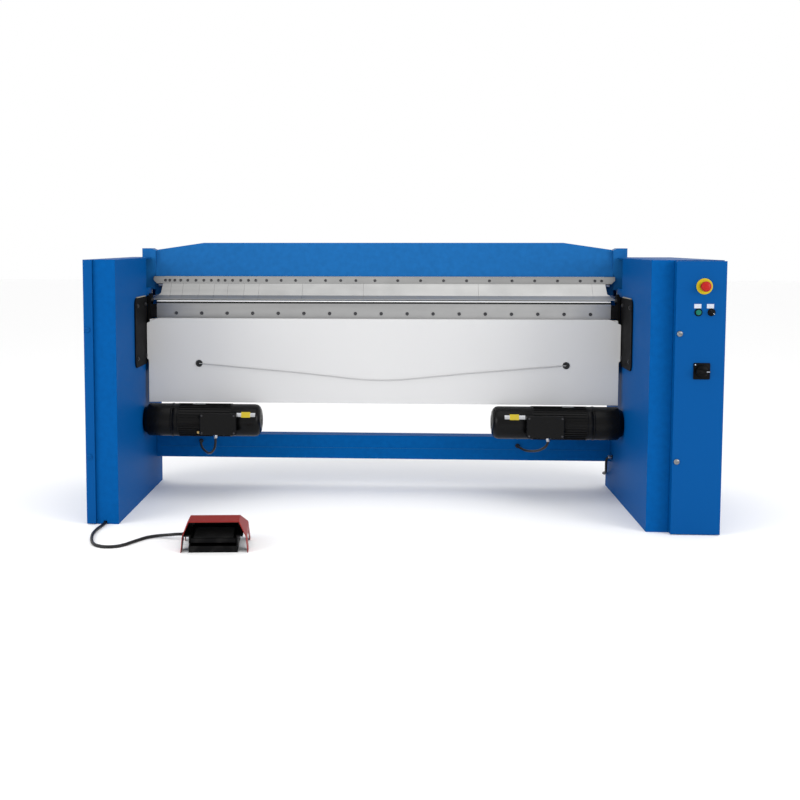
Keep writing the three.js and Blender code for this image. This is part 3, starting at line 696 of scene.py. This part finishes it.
def dressMotor(side, sign):
    y, z = motors["y"], motors["z"]
    axis = (0, y, z)
    for part in ("gearbox", "motor", "fan_cover"):
        dressed(f"{side}_{part}", "castBlack", 0.8, 2, 40, 40)
    rib = slab(sign, motors["stator"], (y - 1.3, z + 68), (y + 1.3, z + 74))
    ribs = joined(ringOf(soften(rib, 0.8, 1), axis, "x", motors["ribs"]))
    bands = [soften(rod((sign * x, y, z), radius, width, "x", 64), 1, 2, 40, 40)
             for x, radius, width in motors["bands"]]
    ribs = joined([ribs] + bands)
    finishAs(ribs, f"{side}_motor_ribs", "frame", "castBlack")
    end = motors["fanEnd"][side]
    rings = []
    for radius in motors["grille"]:
        deselect()
        bpy.ops.mesh.primitive_torus_add(major_radius=radius * mm, minor_radius=1.1 * mm, major_segments=40,
                                         minor_segments=8, location=at(sign * (end + 0.5), y, z),
                                         rotation=turns["x"])
        rings.append(settle(bpy.context.object))
    spoke = slab(sign, (end - 0.6, end + 2), (y - 1.5, z), (y + 1.5, z + 34))
    grille = joined(rings + ringOf(spoke, axis, "x", 6))
    finishAs(grille, f"{side}_fan_grille", "frame", "castBlack")
    x0, x1, z0, z1 = motors["box"]
    dressed(f"{side}_terminal_box", "castBlack", 2.5, 3, 40)
    lid = soften(slab(sign, (x0 + 2, x1 - 2), (412, z0 + 2), (416, z1 - 2)), 1.5, 3)
    finishAs(lid, f"{side}_box_lid", "frame", "castBlack")
    corners = [(sign * across, 412.3, up) for across in (x0 + 10, x1 - 10) for up in (z0 + 10, z1 - 10)]
    finishAs(allPlaced(socketScrew(motors["bolt"], 2), corners), f"{side}_lid_screws", "frame", "screwSteel")
    out, front = motors["gland"]
    nut = soften(rod((sign * out, front, 295), 10.5, 8, "z", 6), 0.8, 2, 40)
    line = [(291, 9), (286, 9), (283, 7), (283, 5.7), (291, 5.7)]
    sleeve = turnedPiece((sign * out, front, 0), "z", line, 28, True)
    finishAs(joined([nut, soften(sleeve, 0.4, 1, 50, 40)]), f"{side}_box_gland", "frame", "zinc")
    hook = slab(sign, motors["breather"][side], (502, 416), (528, 426))
    finishAs(soften(hook, 3, 3), f"{side}_breather", "frame", "zinc")
    s0, s1 = motors["sticker"][side]
    for number, (span, radius, low, high, finish) in enumerate([
            ((s0, s1), 72.5, 377, 393, "zinc"), ((s0 + 22, s0 + 62), 72.8, 374, 397, "stickerYellow")]):
        start, stop = along(sign, *span)
        skin = rod(((start + stop) / 2, y, z), radius, stop - start, "x", 96)
        cutAway(skin, block((start - 5, 400, low), (stop + 5, 466, high)), "INTERSECT")
        finishAs(skin, f"{side}_motor_sticker_{number + 1}", "frame", finish)


for side, sign in sides.items():
    dressMotor(side, sign)
plug = turnedPiece((-807, 0, 306), "y", [(452, 7), (447, 7), (445, 5.5), (445, 0.5)], 6)
finishAs(soften(plug, 0.4, 2), "left_motor_plug", "frame", "brass")
print("motors dressed")

# Where the leads enter the rail and the column
grommets = {"left_rail_grommet": ((-846, 757, 214), "y"), "right_rail_grommet": ((631, 757, 205), "y"),
            "column_grommet": ((1055, 715, 166), "x"), "rear_grommet": ((1088, 882.5, 57), "y")}
for name, (spot, axis) in grommets.items():
    finishAs(soften(rod(spot, 10.5, 5.4, axis, 32), 1.5, 3, 40, 40), name, "frame", "rubber")
nut = soften(rod((1049, 715, 166), 11, 8, "x", 6), 0.9, 2, 40)
collar = soften(rod((1042, 715, 166), 8.5, 7, "x", 28), 1, 2, 40, 40)
finishAs(joined([nut, collar]), "column_gland", "frame", "zinc")
print("lead grommets fitted")

# Controls on the door: stop button, lit push button, selector, main switch and two blank plates
panel = {"y": -39, "stop": (1251, 976), "push": (1230.5, 875.5), "choose": (1280, 876),
         "main": (1248.5, 647.5), "plates": [(1214, 1241), (1262, 1289)], "plateZ": (891, 908)}


def onDoor(spot, profile, corners=48, hollow=False):
    line = [(panel["y"] - out, radius) for out, radius in profile]
    return turnedPiece((spot[0], 0, spot[1]), "y", line, corners, hollow)


def makeControls():
    disc = onDoor(panel["stop"], [(0.3, 31), (2.4, 31), (3.4, 29.5), (3.4, 16), (0.3, 16)], 64, True)
    finishAs(soften(disc, 0.4, 2, 40, 40), "stop_disc", "cabinet_door", "signalYellow", ("estop_plate",))
    collar = onDoor(panel["stop"], [(0.5, 15.5), (8, 15.5), (9.5, 14), (9.5, 11.6), (0.5, 11.6)], 48, True)
    finishAs(soften(collar, 0.4, 2, 40, 40), "stop_collar", "cabinet_door", "plasticBlack")
    cap = onDoor(panel["stop"], [(1, 11), (15, 11), (16.5, 15), (20.5, 19.4), (26, 20), (31, 18), (34, 13.5),
                                 (35.4, 7), (35.8, 1)])
    finishAs(soften(cap, 0.5, 2, 50, 40), "stop_cap", "estop_button", "signalRed", ("estop_button",))
    for name, spot in (("push_bezel", panel["push"]), ("choose_bezel", panel["choose"])):
        ring = onDoor(spot, [(0.3, 15), (2.2, 15), (3.6, 13.6), (3.6, 11.5), (0.3, 11.5)], 48, True)
        finishAs(soften(ring, 0.3, 2, 40, 40), name, "cabinet_door", "plasticBlack")
    button = onDoor(panel["push"], [(0, 10.6), (5.4, 10.6), (6.6, 9.8), (7, 8), (6.6, 0.6)])
    finishAs(soften(button, 0.3, 2, 50, 40), "push_cap", "start_button", "signalGreen", ("start_button",))
    knob = onDoor(panel["choose"], [(0.4, 11), (7.5, 11), (8.5, 10), (8.5, 0.8)])
    grip = soften(block((-10.5, -58, -3.6), (10.5, -45, 3.6)), 1.4, 3)
    spun = Matrix.Translation(at(panel["choose"][0], 0, panel["choose"][1])) @ Matrix.Rotation(
        math.radians(45), 4, "Y") @ Matrix.Translation(-at(0, 0, 0))
    grip.data.transform(spun)
    finishAs(joined([soften(knob, 0.4, 2, 40, 40), grip]), "choose_knob", "selector_knob", "plasticBlack",
             ("selector_knob",))
    pointer = block((4, -58.6, -1), (10, -57.6, 1))
    pointer.data.transform(spun)
    finishAs(pointer, "choose_pointer", "selector_knob", "labelWhite")
    for number, (x0, x1) in enumerate(panel["plates"]):
        plate = block((x0, -40.2, panel["plateZ"][0]), (x1, -38.9, panel["plateZ"][1]))
        finishAs(soften(plate, 0.5, 2), f"blank_plate_{number + 1}", "cabinet_door", "labelWhite")
    dressed("main_switch_plate", "plasticBlack", 1.2, 3, 40)
    x, z = panel["main"]
    hub = soften(onDoor(panel["main"], [(4.4, 23), (14, 23), (16.5, 20), (16.5, 1)]), 0.8, 2, 40, 40)
    wing = soften(block((x - 26, -69, z - 6), (x + 26, -54, z + 6)), 2.2, 3)
    finishAs(joined([hub, wing]), "main_switch_grip", "main_switch_knob", "plasticBlack",
             ("main_switch_knob",))
    stripe = block((x + 12, -69.6, z - 1.2), (x + 24, -68.6, z + 1.2))
    finishAs(soften(stripe, 0.3, 1), "main_switch_mark", "main_switch_knob", "labelWhite")
    dot = rod((x - 25, -43.6, z + 25), 2.6, 1.6, "y", 20)
    finishAs(soften(dot, 0.4, 2, 40), "main_switch_dot", "cabinet_door", "labelWhite")


makeControls()
print("controls made")

# Hinges of the door and the left cover: three knuckles round each pin
hinges = {"spots": {"cabinet": (1339.5, -3), "cover": (-1189, 876)}, "heights": (180, 880),
          "knuckles": (0, 21, 42), "radius": 5, "pinRadius": 2.6}
for name, (x, y) in hinges["spots"].items():
    knuckles = []
    for height in hinges["heights"]:
        for step in hinges["knuckles"]:
            knuckle = rod((x, y, height + step), hinges["radius"], 20, "z", 24)
            knuckles.append(soften(knuckle, 0.8, 2, 40, 40))
        pin = rod((x, y, height + 21), hinges["pinRadius"], 70, "z", 16)
        knuckles.append(soften(pin, 0.6, 2, 40, 40))
    finishAs(joined(knuckles), f"{name}_hinges", "frame", "columnBlue")
print("hinges made")

# Back and outer sides: bolted end plates of the rail and the lower beam, and raised louvres on the cabinet
rear = {"railBolts": [(x, 841, z) for x in (-1040, 1040) for z in (158, 226)],
        "beamBolts": [(x, 801, z) for x in (-1030, 1030) for z in (600, 700, 800)],
        "endPlates": [((840, 140), (843, 244)), ((800, 566), (803, 850))],
        "vents": range(760, 940, 26), "ventStarts": (180, 520), "ventLength": 150}
backward = math.radians(180)
for name, spots in (("rail_bolts", rear["railBolts"]), ("lower_beam_bolts", rear["beamBolts"])):
    finishAs(allPlaced(hexBolt(7.5, 5), spots, 0, backward), name, "frame", "screwSteel")
plates = [soften(slab(sign, (1024, 1057), low, high), 1.5, 2) for sign in sides.values()
          for low, high in rear["endPlates"]]
finishAs(joined(plates), "rear_end_plates", "frame", "columnBlue")
vents = [soften(block((1335, start, z), (1338.5, start + rear["ventLength"], z + 9)), 2.5, 3)
         for start in rear["ventStarts"] for z in rear["vents"]]
finishAs(joined(vents), "cabinet_louvres", "frame", "columnBlue")
print("back and sides dressed")

# Fold line along the face of the lower rail: a raised ridge, in the lighter beam blue as a painted highlight
fold = soften(block((-1040, 758.8, 186), (1040, 761, 189)), 0.8, 2)
finishAs(fold, "rail_fold", "frame", "beamBlue")

# Side plates: four bolts, and a pale seal along the top edge; one bolt through each pivot arm
cheek = {"boltX": 1051, "bolts": [(y, z) for y in (365, 520) for z in (640, 870)],
         "armBolt": (1036, 588, 886), "seal": ((1050.7, 1058), (362, 904.6), (524, 908.5))}
for side, sign in sides.items():
    turn = math.radians(90) * sign
    bolts = allPlaced(hexBolt(7, 5), [(sign * cheek["boltX"], y, z) for y, z in cheek["bolts"]], 0, -turn)
    finishAs(bolts, f"{side}_plate_bolts", "frame", "screwSteel")
    seal = soften(slab(sign, *cheek["seal"]), 1, 2)
    finishAs(seal, f"{side}_plate_seal", "frame", "rim")
    x, y, z = cheek["armBolt"]
    cap = allPlaced(hexBolt(9, 6), [(sign * x, y, z)], 0, -turn)
    finishAs(cap, f"{side}_arm_bolt", "bending_beam", "screwSteel")
print("side plates bolted")

# Foot switch: folded hood with near-black painted shade on its inward and downward faces; box with cheeks;
# ribbed rubber on the treadle
hood = soften(merged("pedal_hood"), 0.9, 3)
hoodMiddle = at(*swung(pedal["middle"][0], -300, 0)).x
# Downward faces, and side faces turned to the middle, get the painted shade
inward = {polygon.index for polygon in hood.data.polygons
          if polygon.normal.z < -0.3
          or (abs(polygon.normal.x) > 0.6 and polygon.normal.x * (polygon.center.x - hoodMiddle) < 0)}
mark(hood, "inside", 1.0, inward)
finishAs(hood, "folded_hood", "frame", "hoodRed", ("pedal_hood",))
dressed("pedal_base", "plasticBlack", 1.2, 2)
ribbing = {"count": 9, "first": -376, "step": 15, "span": (-680, -532), "depth": 6,
           "hinge": -388, "low": 51.2, "rise": 0.045}
pedalSpot = Matrix.Translation(at(*pedal["middle"], 0))
pedalSwing = pedalSpot @ Matrix.Rotation(pedal["turn"], 4, "Z") @ pedalSpot.inverted()
tread = []
for number in range(ribbing["count"]):
    y = ribbing["first"] + ribbing["step"] * number
    low = ribbing["low"] + (y - ribbing["hinge"]) * ribbing["rise"]
    line = block((ribbing["span"][0], y, low - 2), (ribbing["span"][1], y + ribbing["depth"], low + 1.4))
    line.data.transform(pedalSwing)
    tread.append(soften(line, 0.8, 2))
finishAs(joined(tread), "treadle_ribs", "pedal_treadle", "rubber")
print("foot switch dressed")

# Inside of the cabinet: rails with contactors and terminals between slotted ducts
cabinet = {"rails": (940, 620, 340), "ducts": (985, 565, 290), "contactors": (1160, 1200, 1240, 1280),
           "terminals": range(1160, 1310, 18)}
rails = [soften(block((1156, 562, z - 17), (1325, 569.5, z + 17)), 1, 2) for z in cabinet["rails"]]
finishAs(joined(rails), "mounting_rails", "frame", "zinc")
ducts = []
for z in cabinet["ducts"]:
    duct = block((1154, 520, z - 14), (1327, 569, z + 14))
    teeth = [block((x, 515, z - 20), (x + 4, 560, z + 20)) for x in range(1160, 1322, 12)]
    ducts.append(soften(cutAway(duct, joined(teeth)), 0.5, 1))
finishAs(joined(ducts), "wiring_ducts", "frame", "labelWhite")
switchgear = [soften(block((x, 490, 345), (x + 34, 562, 400)), 2, 2) for x in cabinet["contactors"]]
switchgear += [soften(block((x, 500, 608), (x + 16, 562, 640)), 1, 2) for x in cabinet["terminals"]]
finishAs(joined(switchgear), "switchgear", "frame", "plasticBlack")
print("cabinet filled")
